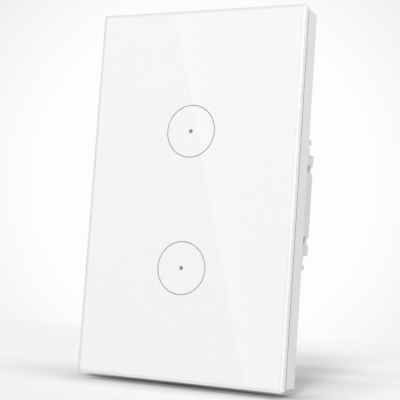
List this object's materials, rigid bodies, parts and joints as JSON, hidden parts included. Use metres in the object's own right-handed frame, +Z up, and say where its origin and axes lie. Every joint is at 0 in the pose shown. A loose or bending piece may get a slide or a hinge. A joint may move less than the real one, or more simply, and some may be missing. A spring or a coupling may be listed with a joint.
{
  "type": "smart light switch",
  "caption": "Glass touch light switch plate with printed ring keys on a shallow white frame, and a boxed rear housing with screw terminals that sits in a wall box.",
  "frame": {"origin": "centre of the wall plane, midway between the two wall box screws", "axes": "+X right as seen from the room, +Y into the wall, +Z up"},
  "size_m": [0.072, 0.0411, 0.118],
  "materials": {
    "clear_glass": "polished tempered glass",
    "white_print": "white back print",
    "tape": "foam tape",
    "white_plastic": "fine matt moulded white",
    "housing_plastic": "fine matt moulded white",
    "zinc_steel": "zinc plated",
    "spring_steel": "nickel plated",
    "circuit_board": "green solder mask",
    "module_board": "blue solder mask",
    "led_body": "moulded body",
    "chip_black": "moulded black",
    "tin_plate": "tin plated",
    "gold_pin": "gold flashed",
    "terminal_plastic": "green moulded",
    "ferrite": "sintered",
    "coil_tape": "yellow tape wrap",
    "can_sleeve": "black sleeve",
    "film_case": "yellow box case",
    "varistor_coat": "blue dip coat",
    "fuse_case": "brown moulded case",
    "relay_case": "blue moulded case",
    "relay_base": "moulded black",
    "copper_wire": "enamelled copper",
    "contact_brass": "plain brass"
  },
  "bodies": {
    "base": {"base_frame": "white_plastic", "bulk_capacitor": "can_sleeve", "choke": "ferrite", "cover_screws": "zinc_steel", "film_capacitor": "film_case", "fuse": "fuse_case", "header_pins": "gold_pin", "indicator_leds": "led_body", "inner_cover": "housing_plastic", "mounting_strap": "zinc_steel", "output_capacitor": "can_sleeve", "pin_header": "chip_black", "pin_socket": "chip_black", "power_board": "circuit_board", "rear_housing": "housing_plastic", "rectifier": "chip_black", "relay_base_left": "relay_base", "relay_base_right": "relay_base", "relay_bobbin_left": "relay_base", "relay_bobbin_right": "relay_base", "relay_case_left": "relay_case", "relay_case_right": "relay_case", "relay_contacts_left": "contact_brass", "relay_contacts_right": "contact_brass", "relay_winding_left": "copper_wire", "relay_winding_right": "copper_wire", "relay_yoke_left": "zinc_steel", "relay_yoke_right": "zinc_steel", "supply_chip": "chip_black", "supply_core": "ferrite", "supply_winding": "coil_tape", "terminal_bars": "tin_plate", "terminal_block": "terminal_plastic", "touch_board": "circuit_board", "touch_chip": "chip_black", "touch_spring_lower": "spring_steel", "touch_spring_upper": "spring_steel", "varistor": "varistor_coat", "wireless_board": "module_board", "wireless_shield": "tin_plate"},
    "faceplate": {"glass_panel": "clear_glass", "glass_print": "white_print", "panel_tape": "tape", "panel_carrier": "white_plastic"},
    "terminal_screw_1": {"terminal_screw_1": "zinc_steel"},
    "terminal_clamp_1": {"terminal_clamp_1": "zinc_steel"},
    "terminal_screw_2": {"terminal_screw_2": "zinc_steel"},
    "terminal_clamp_2": {"terminal_clamp_2": "zinc_steel"},
    "terminal_screw_3": {"terminal_screw_3": "zinc_steel"},
    "terminal_clamp_3": {"terminal_clamp_3": "zinc_steel"},
    "terminal_screw_4": {"terminal_screw_4": "zinc_steel"},
    "terminal_clamp_4": {"terminal_clamp_4": "zinc_steel"},
    "relay_armature_left": {"relay_armature_left": "zinc_steel"},
    "relay_armature_right": {"relay_armature_right": "zinc_steel"}
  },
  "joints": [
    {"name": "faceplate_pull", "type": "slide", "parent": "base", "child": "faceplate", "axis": [0, -1, 0], "range_m": [0, 0.012]},
    {"name": "terminal_turn_1", "type": "hinge", "parent": "base", "child": "terminal_screw_1", "pos_m": [-0.0123, 0.0194, -0.0234], "axis": [0, -1, 0], "range_deg": [0, 1080]},
    {"name": "clamp_rise_1", "type": "slide", "parent": "base", "child": "terminal_clamp_1", "axis": [0, 1, 0], "range_m": [0, 0.0024]},
    {"name": "terminal_turn_2", "type": "hinge", "parent": "base", "child": "terminal_screw_2", "pos_m": [-0.0041, 0.0194, -0.0234], "axis": [0, -1, 0], "range_deg": [0, 1080]},
    {"name": "clamp_rise_2", "type": "slide", "parent": "base", "child": "terminal_clamp_2", "axis": [0, 1, 0], "range_m": [0, 0.0024]},
    {"name": "terminal_turn_3", "type": "hinge", "parent": "base", "child": "terminal_screw_3", "pos_m": [0.0041, 0.0194, -0.0234], "axis": [0, -1, 0], "range_deg": [0, 1080]},
    {"name": "clamp_rise_3", "type": "slide", "parent": "base", "child": "terminal_clamp_3", "axis": [0, 1, 0], "range_m": [0, 0.0024]},
    {"name": "terminal_turn_4", "type": "hinge", "parent": "base", "child": "terminal_screw_4", "pos_m": [0.0123, 0.0194, -0.0234], "axis": [0, -1, 0], "range_deg": [0, 1080]},
    {"name": "clamp_rise_4", "type": "slide", "parent": "base", "child": "terminal_clamp_4", "axis": [0, 1, 0], "range_m": [0, 0.0024]},
    {"name": "armature_tilt_left", "type": "hinge", "parent": "base", "child": "relay_armature_left", "pos_m": [-0.0208, 0.0201, -0.0081], "axis": [0, 0, -1], "range_deg": [0, 4.5], "stiffness_Nm_per_rad": 0.004, "springref_deg": -8.59},
    {"name": "armature_tilt_right", "type": "hinge", "parent": "base", "child": "relay_armature_right", "pos_m": [0.0048, 0.0201, -0.0081], "axis": [0, 0, -1], "range_deg": [0, 4.5], "stiffness_Nm_per_rad": 0.004, "springref_deg": -8.59}
  ],
  "couplings": [
    {"joint": "terminal_turn_1", "follows": "clamp_rise_1", "rad_per_m": 7854},
    {"joint": "terminal_turn_2", "follows": "clamp_rise_2", "rad_per_m": 7854},
    {"joint": "terminal_turn_3", "follows": "clamp_rise_3", "rad_per_m": 7854},
    {"joint": "terminal_turn_4", "follows": "clamp_rise_4", "rad_per_m": 7854}
  ]
}
